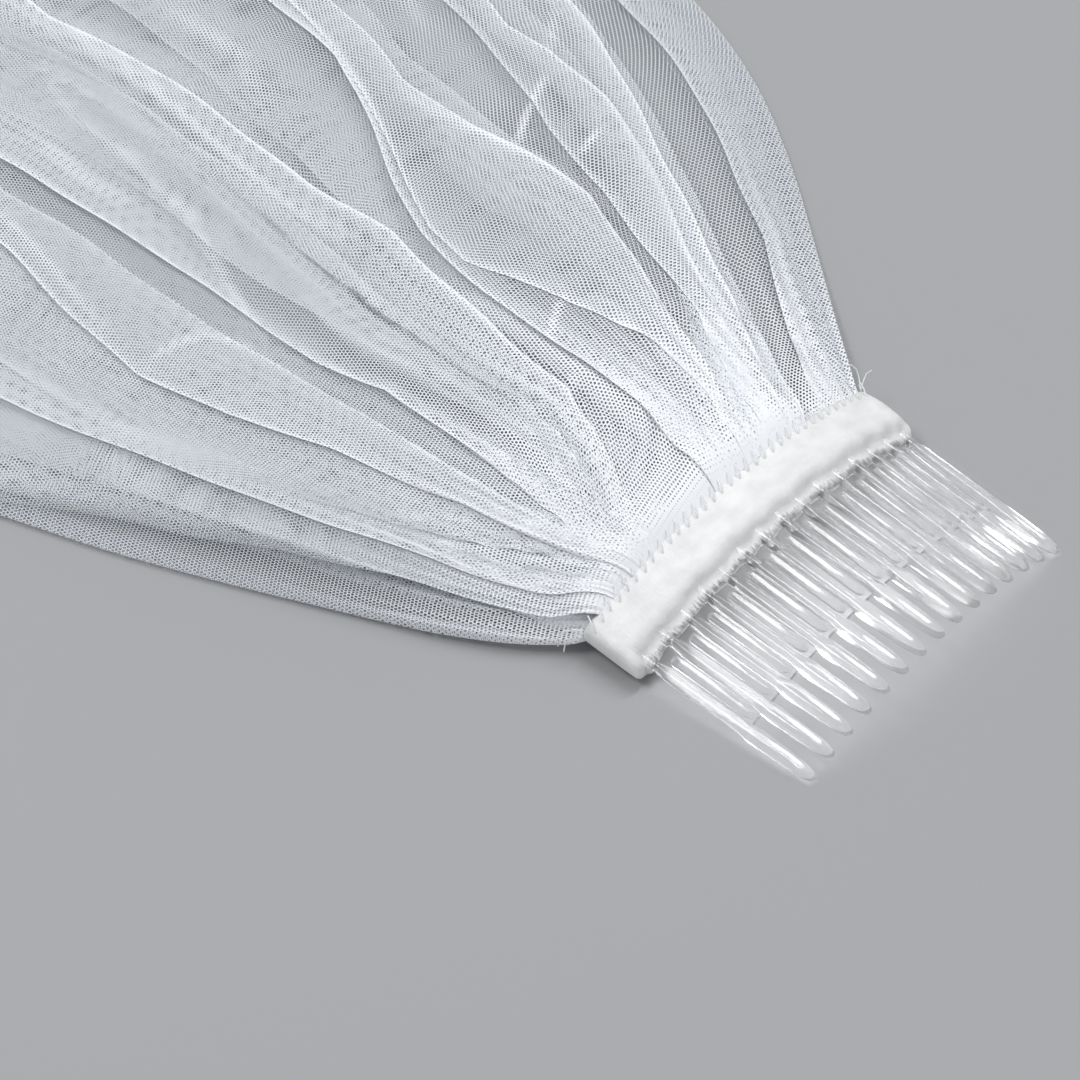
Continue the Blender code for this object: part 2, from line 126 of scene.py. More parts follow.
RIBBON_LIP = ((2.6 * MM, -1.4 * MM), (2.7 * MM, -0.6 * MM), (2.7 * MM, 0.8 * MM),
              (2.6 * MM, 2.1 * MM), (2.2 * MM, 3.1 * MM), (1.4 * MM, 3.8 * MM), (0.3 * MM, 4.1 * MM))

# The sewing; a loose end's points are along the comb in millimetres, round it in degrees, and
# above its underside in millimetres
THREAD_THICKNESS = 0.26 * MM
STITCHES = 34
STITCH_SLANT = 0.7 * MM
STITCH_START = math.radians(-23.9)
STITCH_SPAN = math.radians(47.0)
STITCH_LEAN = 0.12
# One stitch from front to back: along the comb in mm, slant as a share, above the ribbon in mm
STITCH_POINTS = ((-7.5, -1.0, -0.2), (-7.7, -0.9, 0.25), (-8.9, 0.0, 0.75), (-10.2, 0.9, 0.95),
                 (-10.5, 1.0, 0.1))
THREAD_ENDS = (
    ((-10.2, -24.2, 3.4), (-11.6, -24.9, 4.3), (-12.8, -25.6, 4.2), (-13.4, -26.4, 3.0),
     (-12.9, -27.0, 1.9)),
    ((-10.0, -24.3, 2.6), (-11.2, -25.3, 3.0), (-11.9, -26.3, 2.4), (-11.5, -27.1, 1.6)),
    ((-10.4, 23.4, 3.8), (-11.9, 23.9, 5.2), (-13.2, 24.1, 6.2), (-14.1, 23.7, 6.8),
     (-14.6, 23.0, 6.6)),
    ((-10.4, 23.6, 3.4), (-11.4, 24.6, 4.6), (-11.9, 25.3, 5.6), (-11.6, 25.9, 6.3)),
)

# The cloth's fan, as the solids have it
GATHER_CENTRE = -0.5 * MM
GATHER_HALF_WIDTH = 39.0 * MM
GRAIN_DRIFT = 0.30
GRAIN_REACH = 170.0 * MM
EDGE_HEIGHT = 1.6 * MM
SEWN_CLEARANCE = 0.6 * MM
HEAP_REACH = 52.0 * MM
CORNER_CUT = 0.10
CORNER_SHARE = 0.24
FAN = name_columns("at left_deg right_deg puff", (
    (0, 66, 65, 1.0),
    (6, 46, 44, 4.0),
    (16, 32, 40, 8.0),
    (32, 24, 41, 11.5),
    (60, 24, 40, 14.0),
    (85, 22, 35, 14.0),
    (105, 18, 27, 13.0),
    (125, 20, 20, 12.0),
    (150, 20, 15, 11.0),
    (200, 18, 16, 9.0),
    (265, 13, 20, 8.0),
    (340, 19, 14, 7.0),
    (420, 15, 19, 6.0),
    (500, 18, 14, 5.0),
    (590, 12, 17, 4.0),
    (700, 15, 11, 2.5),
))

# The cloth as it was cut, in metres, and how finely its folds are laid: rows are close together
# where the photo shows the cloth, with the distance up to which each pace between them holds
UPPER_CUT = (0.62, 0.56)
LOWER_CUT = (0.70, 0.70)
ROW_PACES = ((112 * MM, 1.4 * MM), (190 * MM, 2.5 * MM), (1000 * MM, 9.0 * MM))
FAN_SHARES = 121
FAN_PACE = 2.0 * MM
FORWARD_COLUMNS = 24
BACK_COLUMNS = 12
GATHERS_PER_TIER = 46
STACK_HEIGHT = 3.4 * MM
STACK_AT_COMB = 0.5 * MM
COMB_BAND = 7.5 * MM
COMB_BAND_REACH = 62.0 * MM
RETURN_THINNING = 0.46
TUCK = 2.4 * MM
TUCK_REACH = 5.0 * MM
RIDGE_HEIGHT = 0.6 * MM
CREST_CORE = 0.7 * MM
CREST_FADE = 3.5 * MM
RETURN_FADE = 4.0 * MM
FINE_GATHER = 0.5 * MM
COARSE_GATHER = 0.7 * MM
GATHER_REACH = 26.0 * MM
COARSE_GATHER_PLACE = 22.0 * MM
DENSE_AT_COMB = 1.5
DENSE_REACH = 3.0 * MM
RIPPLE = 0.5 * MM
LOWEST_CLOTH = 0.4 * MM

# Small waves of the creases: a size as a share of the fan, a length along the cloth, and a shift
# from fold to fold
CREST_WAVES = ((0.004, 11.0 * MM, 2.7), (0.002, 4.7 * MM, 1.1))

# How the tiers lie: what opens under the longer one away from the comb, and how the shorter one
# rises from its seam and swells behind the ribbon
OPENING_SHARE = 0.88
OPENING_REACH = 45.0 * MM
TIER_GAP = 0.5 * MM
SEAM_RISE = 2.6 * MM
SEAM_RISE_REACH = 16.0 * MM
SWELL = 1.6 * MM
SWELL_REACH = 9.0 * MM
SEAM_TUCK = 1.1 * MM
SEAM_TUCK_REACH = 1.4 * MM
STACK_REACH = 50.0 * MM
UPPER_CORNER_EDGE = 0.84

# The net: a hole's width, and threads as shares of it, plain and added where cloth is gathered
NET_CELL = 0.84 * MM
THREAD_SHARE = 0.098
THREAD_THICKENING = 0.16
NET_SLANT = 0.12
NET_SQUASH = 0.4
LOWER_COLOUR = (0.74, 0.77, 0.82, 1.0)
UPPER_COLOUR = (0.77, 0.80, 0.85, 1.0)
# A painted highlight: the net's colour goes towards this near white where its thread packs closer,
# along folds, ridges and gathers and at the seam
PAINTED_HIGHLIGHT_COLOUR = (0.93, 0.95, 0.98, 1.0)

# Paths are read at a distance from the comb in millimetres.  "over" is the side that the turned
# cloth lies on, "line" how strongly the crease shows, and "height" where in the stack it rides.
# "share" is its place across the fan, -1 the left edge and 1 the right, and "band" how wide the
# turned cloth lies, in millimetres.
UPPER_EDGES = {
    "left": ((0, -0.86), (60, -0.84), (120, -0.88), (200, -0.86), (560, -0.84)),
    "right": ((0, 0.70), (30, 0.76), (60, 0.77), (110, 0.77), (200, 0.80), (560, 0.84)),
}
UPPER_FOLDS = name_columns("over line height share band", (
    ("right", 0.6, 0.8,
     ((0, -0.70), (20, -0.73), (60, -0.76), (120, -0.78), (300, -0.72), (560, -0.74)),
     ((0, 0.5), (20, 2), (60, 6), (110, 14), (200, 16), (560, 22))),
    ("left", 0.3, 0.35,
     ((0, -0.60), (30, -0.58), (60, -0.60), (120, -0.62), (300, -0.52), (560, -0.60)),
     ((0, 0.5), (30, 14), (80, 34), (140, 46), (300, 44), (560, 30))),
    ("right", 1.0, 1.0,
     ((0, -0.50), (10, -0.46), (34, -0.46), (62, -0.49), (84, -0.55), (106, -0.57),
      (130, -0.51), (150, -0.46), (300, -0.40), (560, -0.50)),
     ((0, 0.5), (20, 3), (50, 9), (76, 19), (96, 17), (106, 5), (125, 5), (150, 6),
      (220, 12), (560, 24))),
    ("left", 0.35, 0.85,
     ((0, -0.38), (30, -0.34), (60, -0.33), (120, -0.35), (300, -0.30), (560, -0.36)),
     ((0, 0.5), (30, 15), (80, 34), (140, 48), (300, 44), (560, 30))),
    ("right", 1.0, 1.0,
     ((0, -0.42), (6, -0.42), (16, -0.33), (30, -0.27), (46, -0.24), (60, -0.22),
      (76, -0.26), (108, -0.27), (166, -0.29), (300, -0.24), (560, -0.28)),
     ((0, 0.5), (20, 2), (60, 3), (88, 3), (104, 5), (122, 14), (164, 20), (260, 26),
      (560, 20))),
    ("right", 0.25, 0.35,
     ((0, -0.26), (10, -0.18), (30, -0.10), (60, -0.10), (100, -0.16), (160, -0.16),
      (300, -0.12), (560, -0.16)),
     ((0, 0.5), (30, 14), (80, 26), (140, 34), (300, 34), (560, 24))),
    ("left", 0.5, 0.7,
     ((0, -0.30), (8, -0.20), (20, -0.06), (40, 0.05), (90, 0.06), (140, 0.02),
      (200, 0.0), (560, -0.04)),
     ((0, 0.5), (16, 3), (40, 12), (70, 18), (140, 12), (200, 8), (560, 16))),
    ("left", 1.0, 1.0,
     ((0, -0.22), (8, -0.12), (14, -0.02), (20, 0.05), (32, 0.13), (54, 0.16), (86, 0.16),
      (110, 0.12), (150, 0.08), (190, 0.06), (300, 0.12), (560, 0.10)),
     ((0, 0.5), (20, 3), (50, 9), (100, 9), (150, 8), (220, 16), (560, 24))),
    ("right", 0.9, 1.0,
     ((0, 0.16), (20, 0.24), (40, 0.22), (60, 0.20), (82, 0.21), (92, 0.235), (110, 0.28),
      (124, 0.31), (136, 0.33), (150, 0.33), (300, 0.34), (560, 0.30)),
     ((0, 0.5), (20, 1), (70, 1), (90, 3), (130, 4), (200, 10), (560, 22))),
    ("right", 0.9, 0.9,
     ((0, 0.36), (14, 0.44), (28, 0.43), (38, 0.39), (48, 0.34), (60, 0.29), (70, 0.24),
      (82, 0.23), (92, 0.255), (124, 0.33), (150, 0.35), (300, 0.36), (560, 0.34)),
     ((0, 0.5), (20, 2), (48, 3), (68, 0.8), (90, 0.5), (200, 2), (560, 10))),
    ("left", 0.8, 0.9,
     ((0, 0.44), (20, 0.52), (50, 0.56), (70, 0.56), (88, 0.50), (100, 0.45), (120, 0.40),
      (200, 0.42), (560, 0.46)),
     ((0, 0.5), (20, 3), (50, 9), (80, 14), (120, 5), (200, 10), (560, 20))),
    ("right", 0.6, 0.8,
     ((0, 0.50), (30, 0.60), (70, 0.60), (92, 0.57), (126, 0.57), (200, 0.56), (560, 0.58)),
     ((0, 0.5), (30, 1.5), (70, 1.2), (110, 1.6), (200, 8), (560, 20))),
    ("left", 0.9, 0.9,
     ((0, 0.56), (14, 0.62), (30, 0.67), (52, 0.70), (74, 0.71), (94, 0.70), (112, 0.67),
      (124, 0.63), (200, 0.68), (560, 0.70)),
     ((0, 0.5), (20, 3), (60, 7), (90, 8), (120, 4), (200, 8), (560, 16))),
    ("left", 1.0, 1.0,
     ((0, 0.62), (14, 0.68), (30, 0.72), (52, 0.735), (80, 0.745), (116, 0.75),
      (200, 0.77), (560, 0.80)),
     ((0, 0.5), (20, 1.5), (60, 2.5), (100, 3.5), (200, 5), (560, 8))),
))
LOWER_EDGES = {
    "left": ((0, -0.96), (30, -0.90), (120, -0.93), (300, -0.92), (700, -0.94)),
    "right": ((0, 0.96), (14, 0.90), (50, 0.89), (110, 0.88), (200, 0.90), (700, 0.92)),
}
LOWER_FOLDS = name_columns("over line height share band", (
    ("right", 0.5, 1.0,
     ((0, -0.84), (30, -0.80), (80, -0.84), (140, -0.83), (300, -0.76), (700, -0.78)),
     ((0, 0.5), (30, 5), (80, 12), (140, 16), (300, 26), (700, 20))),
    ("left", 0.3, 0.8,
     ((0, -0.70), (30, -0.64), (80, -0.62), (140, -0.66), (300, -0.58), (700, -0.62)),
     ((0, 0.5), (30, 12), (80, 28), (140, 38), (300, 40), (700, 28))),
    ("left", 0.4, 1.0,
     ((0, -0.52), (30, -0.44), (80, -0.40), (140, -0.46), (300, -0.42), (700, -0.46)),
     ((0, 0.5), (30, 12), (80, 28), (140, 36), (300, 38), (700, 30))),
    ("right", 0.4, 1.0,
     ((0, -0.46), (30, -0.42), (80, -0.42), (140, -0.48), (300, -0.38), (700, -0.40)),
     ((0, 0.5), (30, 11), (80, 24), (140, 34), (300, 34), (700, 26))),
    ("right", 0.2, 0.6,
     ((0, -0.30), (30, -0.22), (80, -0.16), (140, -0.22), (300, -0.20), (700, -0.24)),
     ((0, 0.5), (30, 14), (80, 30), (140, 42), (300, 40), (700, 26))),
    ("left", 0.5, 1.0,
     ((0, 0.02), (20, 0.10), (50, 0.14), (100, 0.08), (160, 0.08), (300, 0.04), (700, 0.08)),
     ((0, 0.5), (30, 10), (80, 24), (140, 32), (300, 32), (700, 24))),
    ("right", 0.5, 1.0,
     ((0, 0.12), (20, 0.18), (50, 0.20), (90, 0.16), (130, 0.15), (300, 0.20), (700, 0.24)),
     ((0, 0.5), (30, 6), (80, 13), (140, 20), (300, 26), (700, 24))),
    ("left", 0.6, 1.0,
     ((0, 0.44), (20, 0.52), (50, 0.54), (90, 0.52), (130, 0.46), (300, 0.50), (700, 0.52)),
     ((0, 0.5), (30, 6), (80, 12), (140, 15), (300, 26), (700, 24))),
    ("left", 0.7, 1.0,
     ((0, 0.62), (20, 0.70), (50, 0.745), (90, 0.72), (130, 0.70), (300, 0.74), (700, 0.70)),
     ((0, 0.5), (30, 5), (80, 6), (140, 7), (300, 16), (700, 18))),
    ("right", 0.6, 1.0,
     ((0, 0.80), (20, 0.84), (50, 0.885), (90, 0.87), (130, 0.86), (300, 0.84), (700, 0.84)),
     ((0, 0.5), (30, 4), (60, 7), (100, 9), (140, 9), (300, 12), (700, 12))),
))

# Soft ridges that cross the shorter tier without turning it over: points as distance in
# millimetres and share, how strongly the ridge shows, and its half width in millimetres
RIDGES = name_columns("path strength width", (
    (((90, 0.50), (97, 0.55), (106, 0.63)), 0.9, 0.8),
    (((82, 0.60), (86, 0.66)), 0.8, 0.7),
    (((42, 0.22), (50, 0.36)), 0.8, 0.7),
    (((30, 0.12), (36, 0.26)), 0.5, 0.8),
    (((64, -0.04), (84, 0.05)), 0.3, 1.2),
    (((24, -0.30), (34, -0.20)), 0.4, 1.0),
    (((112, 0.66), (122, 0.72)), 0.5, 0.8),
    (((180, -0.05), (164, -0.11), (144, -0.12), (122, -0.15), (100, -0.24), (88, -0.29)), 0.5, 1.2),
    (((188, 0.06), (160, 0.05), (140, 0.04), (114, 0.05), (92, 0.09)), 0.4, 1.6),
    (((106, -0.56), (104, -0.46), (100, -0.38), (92, -0.34), (76, -0.32)), 0.5, 1.1),
    (((188, -0.36), (152, -0.41), (134, -0.46), (116, -0.52)), 0.5, 1.3),
    (((70, 0.16), (54, 0.19), (38, 0.20), (24, 0.20), (14, 0.20)), 0.5, 1.2),
    (((120, 0.38), (110, 0.40), (100, 0.44), (88, 0.49), (78, 0.54), (66, 0.56)), 0.6, 1.2),
    (((96, -0.10), (80, -0.14), (66, -0.12), (50, -0.08)), 0.3, 1.4),
    (((186, -0.62), (160, -0.66), (130, -0.70), (100, -0.72), (70, -0.68)), 0.35, 2.0),
    (((188, 0.22), (170, 0.20), (150, 0.20), (132, 0.16)), 0.4, 1.4),
    (((188, 0.46), (168, 0.48), (146, 0.52), (130, 0.50)), 0.4, 1.4),
    (((186, -0.20), (170, -0.18), (150, -0.22), (136, -0.20)), 0.3, 1.8),
    (((46, -0.60), (34, -0.58), (22, -0.56), (10, -0.54)), 0.4, 1.2),
    (((40, -0.12), (28, -0.14), (18, -0.20), (8, -0.26)), 0.4, 1.1),
))

# The camera stands where the photo was taken from, measured from the comb's origin
CAMERA_TARGET = (-34.35 * MM, -25.79 * MM, 0.0)
CAMERA_DISTANCE = 673.2 * MM
CAMERA_TURN = math.radians(-48.07)
CAMERA_RISE = math.radians(48.09)
CAMERA_FIELD = 0.29932

# The softboxes, round the camera's target: distance and size in metres, power in watts.  The long
# one above is mirrored by the flat tops of the comb's middle bars, the one behind by its teeth.
SOFTBOXES = (
    {"name": "softbox_behind", "turn_deg": -125.0, "rise_deg": 59.0, "roll_deg": 0.0,
     "distance": 1.5, "size": (0.5, 0.4), "power": 7.0},
    {"name": "softbox_above", "turn_deg": 104.3, "rise_deg": 68.4, "roll_deg": -10.0,
     "distance": 1.5, "size": (0.24, 1.0), "power": 10.0},
    {"name": "softbox_side", "turn_deg": 10.0, "rise_deg": 30.0, "roll_deg": 0.0,
     "distance": 1.6, "size": (0.5, 0.5), "power": 3.0},
)
WORLD_STRENGTH = 0.38


def new_node(tree, kind, **settings):
    """Adds a node; the settings name its properties."""
    node = tree.nodes.new(kind)
    for key, value in settings.items():
        setattr(node, key, value)
    return node


def clean_material(name):
    material = bpy.data.materials.new(name)
    material.use_nodes = True
    return material, material.node_tree, material.node_tree.nodes["Principled BSDF"]


def vector_math(tree, operation, first, second=None):
    node = new_node(tree, "ShaderNodeVectorMath", operation=operation)
    for socket, value in zip(node.inputs, (first, second)):
        if value is None:
            continue
        if isinstance(value, tuple):
            socket.default_value = value
        else:
            tree.links.new(value, socket)
    return node


def number_math(tree, operation, first, second=None):
    node = new_node(tree, "ShaderNodeMath", operation=operation)
    for socket, value in zip(node.inputs, (first, second)):
        if value is None:
            continue
        if isinstance(value, (int, float)):
            socket.default_value = value
        else:
            tree.links.new(value, socket)
    return node.outputs[0]


def multiply_add(tree, value, factor, offset, clamp=False):
    """The value times a factor, plus an offset that is a number or another output."""
    node = new_node(tree, "ShaderNodeMath", operation="MULTIPLY_ADD", use_clamp=clamp)
    tree.links.new(value, node.inputs[0])
    node.inputs[1].default_value = factor
    if isinstance(offset, float):
        node.inputs[2].default_value = offset
    else:
        tree.links.new(offset, node.inputs[2])
    return node.outputs[0]


def stretch(tree, place, scale):
    """A position scaled along each axis."""
    node = new_node(tree, "ShaderNodeMapping")
    node.inputs["Scale"].default_value = scale
    tree.links.new(place, node.inputs["Vector"])
    return node.outputs["Vector"]


def noise(tree, place, scale, detail):
    node = new_node(tree, "ShaderNodeTexNoise")
    node.inputs["Scale"].default_value = scale
    node.inputs["Detail"].default_value = detail
    tree.links.new(place, node.inputs["Vector"])
    return node.outputs["Fac"]


def add_bump(tree, shader, height, strength, distance):
    bump = new_node(tree, "ShaderNodeBump")
    bump.inputs["Strength"].default_value = strength
    bump.inputs["Distance"].default_value = distance
    tree.links.new(height, bump.inputs["Height"])
    tree.links.new(bump.outputs["Normal"], shader.inputs["Normal"])


def vary_colour(tree, shader, factor, places, colours):
    """A base colour that goes from the first colour to the second between two places."""
    ramp = new_node(tree, "ShaderNodeValToRGB")
    for stop, place, colour in zip(ramp.color_ramp.elements, places, colours):
        stop.position = place
        stop.color = (*colour, 1.0)
    tree.links.new(factor, ramp.inputs["Fac"])
    tree.links.new(ramp.outputs["Color"], shader.inputs["Base Color"])


def make_net_group():
    """Hexagonal net: how much of each point a thread covers, from a position in cells."""
    tree = bpy.data.node_groups.new("hexagonal_net", "ShaderNodeTree")
    tree.interface.new_socket("Position", in_out="INPUT", socket_type="NodeSocketVector")
    tree.interface.new_socket("Thread", in_out="INPUT", socket_type="NodeSocketFloat")
    tree.interface.new_socket("Cover", in_out="OUTPUT", socket_type="NodeSocketFloat")
    inputs = new_node(tree, "NodeGroupInput")
    outputs = new_node(tree, "NodeGroupOutput")
    tall = math.sqrt(3.0) / 2
    half = (0.5, tall, 0.0)
    flat = vector_math(tree, "MULTIPLY", inputs.outputs["Position"], (1.0, 1.0, 0.0)).outputs[0]
    rests = []
    for shift in ((0.0, 0.0, 0.0), half):
        moved = vector_math(tree, "SUBTRACT", flat, shift).outputs[0]
        wrap = vector_math(tree, "WRAP", moved, (0.5, tall, 0.5))
        wrap.inputs[2].default_value = (-0.5, -tall, -0.5)
        rests.append(wrap.outputs[0])
    lengths = [vector_math(tree, "LENGTH", rest).outputs["Value"] for rest in rests]
    nearer = number_math(tree, "LESS_THAN", lengths[0], lengths[1])
    choose = new_node(tree, "ShaderNodeMix", data_type="VECTOR")
    tree.links.new(nearer, choose.inputs[0])
    tree.links.new(rests[1], choose.inputs[4])
    tree.links.new(rests[0], choose.inputs[5])
    place = vector_math(tree, "ABSOLUTE", choose.outputs[1]).outputs[0]
    slanted = vector_math(tree, "DOT_PRODUCT", place, half).outputs["Value"]
    straight = vector_math(tree, "DOT_PRODUCT", place, (1.0, 0.0, 0.0)).outputs["Value"]
    reach = number_math(tree, "MAXIMUM", slanted, straight)
    gap = number_math(tree, "SUBTRACT", 0.5, reach)
    cover = number_math(tree, "LESS_THAN", gap, inputs.outputs["Thread"])
    tree.links.new(cover, outputs.inputs["Cover"])
    return tree


def tulle_material(name, colour, net_group):
    """White net: hexagonal holes, closer thread where the cloth is gathered or creased, and a painted
    highlight in its colour there.
    """
    material, tree, shader = clean_material(name)
    cloth = new_node(tree, "ShaderNodeUVMap", uv_map="cloth")
    scaled = vector_math(tree, "SCALE", cloth.outputs["UV"])
    scaled.inputs["Scale"].default_value = 1.0 / NET_CELL
    close = new_node(tree, "ShaderNodeAttribute", attribute_name="closeness_and_painted_highlight")
    width = multiply_add(tree, close.outputs["Fac"], THREAD_THICKENING, THREAD_SHARE)
    net = new_node(tree, "ShaderNodeGroup", node_tree=net_group)
    tree.links.new(scaled.outputs[0], net.inputs["Position"])
    tree.links.new(width, net.inputs["Thread"])
    tree.links.new(net.outputs["Cover"], shader.inputs["Alpha"])
    # Painted highlight: the colour goes from the tier's own towards near white as the thread packs
    # closer
    painted_highlight = new_node(tree, "ShaderNodeMix", data_type="RGBA", clamp_factor=True)
    tree.links.new(close.outputs["Fac"], painted_highlight.inputs[0])
    painted_highlight.inputs[6].default_value = colour
    painted_highlight.inputs[7].default_value = PAINTED_HIGHLIGHT_COLOUR
    tree.links.new(painted_highlight.outputs[2], shader.inputs["Base Color"])
    shader.inputs["Roughness"].default_value = 0.7
    shader.inputs["Specular IOR Level"].default_value = 0.25
    return material


def satin_material():
    """White satin: fine weft lines, soft crease bumps with painted shade in their hollows and painted
    light on their tops, and a front edge that frays away.
    """
    material, tree, shader = clean_material("satin_ribbon")
    cloth = new_node(tree, "ShaderNodeUVMap", uv_map="cloth").outputs["UV"]
    floats = noise(tree, stretch(tree, cloth, (2600.0, 420.0, 1.0)), 1.0, 3.0)
    creases_and_shade = noise(tree, cloth, 230.0, 3.0)
    add_bump(tree, shader, multiply_add(tree, creases_and_shade, 3.0, floats), 0.45, 0.0002)
    # Painted shade and light: the colour follows the crease bumps, darker in their hollows and
    # lighter on their tops
    vary_colour(tree, shader, creases_and_shade, (0.3, 0.7), ((0.75, 0.75, 0.755), (0.87, 0.87, 0.865)))
    tree.links.new(multiply_add(tree, floats, 0.2, 0.42), shader.inputs["Roughness"])
    whole = new_node(tree, "ShaderNodeAttribute", attribute_name="whole")
    fibres = multiply_add(tree, whole.outputs["Fac"], 2.0, 0.03)
    left = number_math(tree, "SUBTRACT", fibres, floats)
    tree.links.new(multiply_add(tree, left, 2.6, 0.3, clamp=True), shader.inputs["Alpha"])
    return material


def clear_plastic_material():
    """Clear moulding: faint flow marks in its gloss, and a pale shadow."""
    material, tree, shader = clean_material("clear_plastic")
    place = new_node(tree, "ShaderNodeTexCoord").outputs["Object"]
    flow = noise(tree, stretch(tree, place, (30.0, 110.0, 110.0)), 1.0, 2.0)
    tree.links.new(multiply_add(tree, flow, 0.14, 0.02), shader.inputs["Roughness"])
    add_bump(tree, shader, flow, 0.04, 0.00004)
    shader.inputs["Base Color"].default_value = (0.97, 0.975, 0.985, 1.0)
    shader.inputs["Transmission Weight"].default_value = 0.90
    shader.inputs["IOR"].default_value = 1.49
    light = new_node(tree, "ShaderNodeLightPath")
    pale = multiply_add(tree, light.outputs["Is Shadow Ray"], -0.8, 1.0)
    tree.links.new(pale, shader.inputs["Alpha"])
    return material


def thread_material():
    """White sewing thread with a fine twist."""
    material, tree, shader = clean_material("sewing_thread")
    place = new_node(tree, "ShaderNodeTexCoord").outputs["Object"]
    twist = new_node(tree, "ShaderNodeTexWave", bands_direction="DIAGONAL")
    twist.inputs["Scale"].default_value = 900.0
    tree.links.new(place, twist.inputs["Vector"])
    add_bump(tree, shader, twist.outputs["Fac"], 0.4, 0.0001)
    shader.inputs["Base Color"].default_value = (0.82, 0.83, 0.84, 1.0)
    shader.inputs["Roughness"].default_value = 0.55
    return material


def floor_material():
    material, tree, shader = clean_material("pale_floor")
    place = new_node(tree, "ShaderNodeTexCoord").outputs["Object"]
    tone = noise(tree, place, 2.0, 2.0)
    vary_colour(tree, shader, tone, (0.0, 1.0), ((0.355, 0.36, 0.37), (0.385, 0.39, 0.40)))
    shader.inputs["Roughness"].default_value = 0.85
    return material


def finish_piece(piece, material, slot, *nodes):
    """Gives a piece its material and its body, and hides the solids that it stands for. The slot is
    not used.
    """
    piece.data.materials.clear()
    piece.data.materials.append(material)
    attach(piece, "root")
    if nodes:
        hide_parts(*nodes)


def deselect_all():
    if bpy.context.mode != "OBJECT":
        bpy.ops.object.mode_set(mode="OBJECT")
    bpy.ops.object.select_all(action="DESELECT")


def add_object(name, data):
    """A new object, linked to the scene."""
    item = bpy.data.objects.new(name, data)
    bpy.context.scene.collection.objects.link(item)
    return item


def select_only(item):
    deselect_all()
    item.select_set(True)
    bpy.context.view_layer.objects.active = item


def cut_across(item, places, axis):
    """Adds a ring of edges at each place along an axis, with the bisect tool."""
    select_only(item)
    bpy.ops.object.mode_set(mode="EDIT")
    for place in places:
        bpy.ops.mesh.select_all(action="SELECT")
        bpy.ops.mesh.bisect(plane_co=[place * part for part in axis], plane_no=axis)
    bpy.ops.object.mode_set(mode="OBJECT")


def at_distance(table, column, distance):
    """Reads a column of a table of rows at a distance in millimetres."""
    return float(np.interp(distance, [row["at"] for row in table], [row[column] for row in table]))


def arch_point(along, angle, radial):
    """A point of the arched comb: along the teeth, round the arch, and above its underside."""
    narrowing = 1.0 - TIP_NARROWING * max(0.0, along) / TOOTH_LENGTH
    radius = ARCH_RADIUS + radial
    across = radius * math.sin(angle) * narrowing
    height = radius * math.cos(angle) - ARCH_RADIUS * math.cos(TOOTH_STEP * (TEETH - 1) / 2)
    return Vector((along, across, height + COMB_SLOPE * (TOOTH_LENGTH - along)))


def comb_origin():
    """Where the teeth leave the ribbon, at the height of the comb's end teeth."""
    low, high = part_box("comb")
    spine_crown = arch_point(-SPINE_BACK, 0.0, SPINE_TOP).z
    return Vector((high[0] - TOOTH_LENGTH, (low[1] + high[1]) / 2, high[2] - spine_crown))


def bend_round_arch(item, origin):
    """Bends a flat moulding round the comb's arch and puts it in its place."""
    for vertex in item.data.vertices:
        flat = vertex.co
        vertex.co = arch_point(flat.x, flat.y / ARCH_RADIUS, flat.z) + origin


def shape_rod(name, sections, flatness):
    """A rod with a domed section that changes from ring to ring: a cylinder cut and shaped.

    A low flatness squares the top of the dome, and 1 leaves it round."""
    first, last = sections[0]["at"] * MM, sections[-1]["at"] * MM
    bpy.ops.mesh.primitive_cylinder_add(
        vertices=ROD_SIDES, radius=1.0, depth=last - first, end_fill_type="NGON",
        location=((first + last) / 2, 0.0, 0.0), rotation=(0.0, math.pi / 2, 0.0))
    rod = bpy.context.object
    rod.name = name
    bpy.ops.object.transform_apply(location=True, rotation=True, scale=True)
    cut_across(rod, [row["at"] * MM for row in sections[1:-1]], (1.0, 0.0, 0.0))
    for vertex in rod.data.vertices:
        at = vertex.co.x / MM
        width, top, bottom = (
            at_distance(sections, column, at) * MM for column in ("width", "top", "bottom"))
        middle = bottom + 0.42 * (top - bottom)
        side, rise = vertex.co.y, vertex.co.z
        vertex.co.y = side * width / 2
        if rise > 0.0:
            vertex.co.z = middle + (top - middle) * rise ** flatness
        else:
            vertex.co.z = middle - (middle - bottom) * min(1.0, 1.7 * abs(rise)) ** 0.7
    return rod


def copy_across(item, places):
    """Copies a rod to each place across the comb, each copy with its own mesh, as one object."""
    copies = []
    for place in places:
        twin = item.copy()
        twin.data = item.data.copy()
        bpy.context.scene.collection.objects.link(twin)
        for vertex in twin.data.vertices:
            vertex.co.y += place
        copies.append(twin)
    bpy.data.objects.remove(item, do_unlink=True)
    deselect_all()
    for twin in copies:
        twin.select_set(True)
    bpy.context.view_layer.objects.active = copies[0]
    bpy.ops.object.join()
    return bpy.context.object


def arched_plate(name, start, end, bottom, top, margin, origin):
    """A plate cut across at each quarter pitch and bent round the arch."""
    half_width = ARCH_RADIUS * (TOOTH_STEP * (TEETH - 1) / 2 + margin)
    bpy.ops.mesh.primitive_cube_add(size=1.0, location=((start + end) / 2, 0.0, (top + bottom) / 2))
    plate = bpy.context.object
    plate.name = name
    plate.scale = (end - start, 2 * half_width, top - bottom)
    bpy.ops.object.transform_apply(location=True, rotation=True, scale=True)
    cuts = 4 * (TEETH - 1)
    places = [half_width * (2.0 * cut / cuts - 1.0) for cut in range(1, cuts)]
    cut_across(plate, places, (0.0, 1.0, 0.0))
    bend_round_arch(plate, origin)
    return plate


